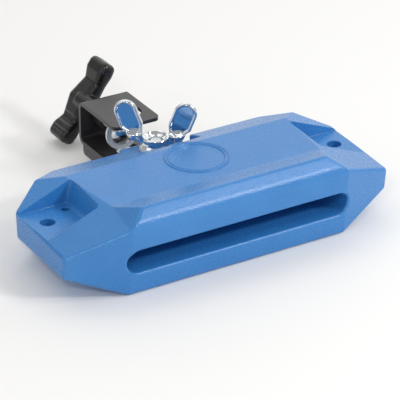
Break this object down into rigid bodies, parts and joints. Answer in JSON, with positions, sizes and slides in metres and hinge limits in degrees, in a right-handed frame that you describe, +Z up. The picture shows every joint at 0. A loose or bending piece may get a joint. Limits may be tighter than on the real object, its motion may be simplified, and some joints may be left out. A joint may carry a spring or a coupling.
{
  "type": "percussion block",
  "caption": "Moulded percussion block with a sound slot, end mounting holes and a swivelling rod clamp with wing nut and T-handle.",
  "frame": {"origin": "on the table under the flat bottom, at the middle of the block's length, 41 mm behind the front foot", "axes": "+X along the block to its right end seen from the slot side, +Y from the slot side to the clamp, +Z up"},
  "size_m": [0.222, 0.2076, 0.0657],
  "materials": {
    "block_plastic": "fine moulded satin grain",
    "bracket_paint": "satin black powder coat",
    "zinc_steel": "bright zinc plate",
    "nut_chrome": "polished plate over a casting",
    "handle_plastic": "semi-gloss moulded black"
  },
  "bodies": {
    "block": {"block_body": "block_plastic"},
    "bracket": {"mount_bracket": "bracket_paint", "mount_bolt": "zinc_steel", "weld_nut": "bracket_paint"},
    "nut_washer": {"wing_nut_washer": "zinc_steel"},
    "wing_nut": {"wing_nut": "nut_chrome"},
    "clamp_pad": {"pressure_disc": "zinc_steel", "disc_nose": "nut_chrome"},
    "clamp_screw": {"clamp_screw": "zinc_steel", "t_handle": "handle_plastic"}
  },
  "joints": [
    {"name": "bracket_swivel", "type": "hinge", "parent": "block", "child": "bracket", "pos_m": [0, 0.057, 0.0152], "axis": [0, 0, 1], "range_deg": [-30, 30]},
    {"name": "nut_lift", "type": "slide", "parent": "bracket", "child": "nut_washer", "axis": [0, 0, 1], "range_m": [0, 0.0025]},
    {"name": "wing_nut_turn", "type": "hinge", "parent": "nut_washer", "child": "wing_nut", "pos_m": [0, 0.057, 0.035], "axis": [0, 0, 1], "range_deg": [0, 720.1]},
    {"name": "clamp_travel", "type": "slide", "parent": "bracket", "child": "clamp_pad", "axis": [0, 1, 0], "range_m": [-0.005, 0.015]},
    {"name": "clamp_turn", "type": "hinge", "parent": "clamp_pad", "child": "clamp_screw", "pos_m": [0, 0.098, 0.0273], "axis": [0, 1, 0], "range_deg": [-1440.1, 4320.2]}
  ],
  "couplings": [
    {"joint": "wing_nut_turn", "follows": "nut_lift", "rad_per_m": 5026.5},
    {"joint": "clamp_turn", "follows": "clamp_travel", "rad_per_m": 5026.5}
  ]
}
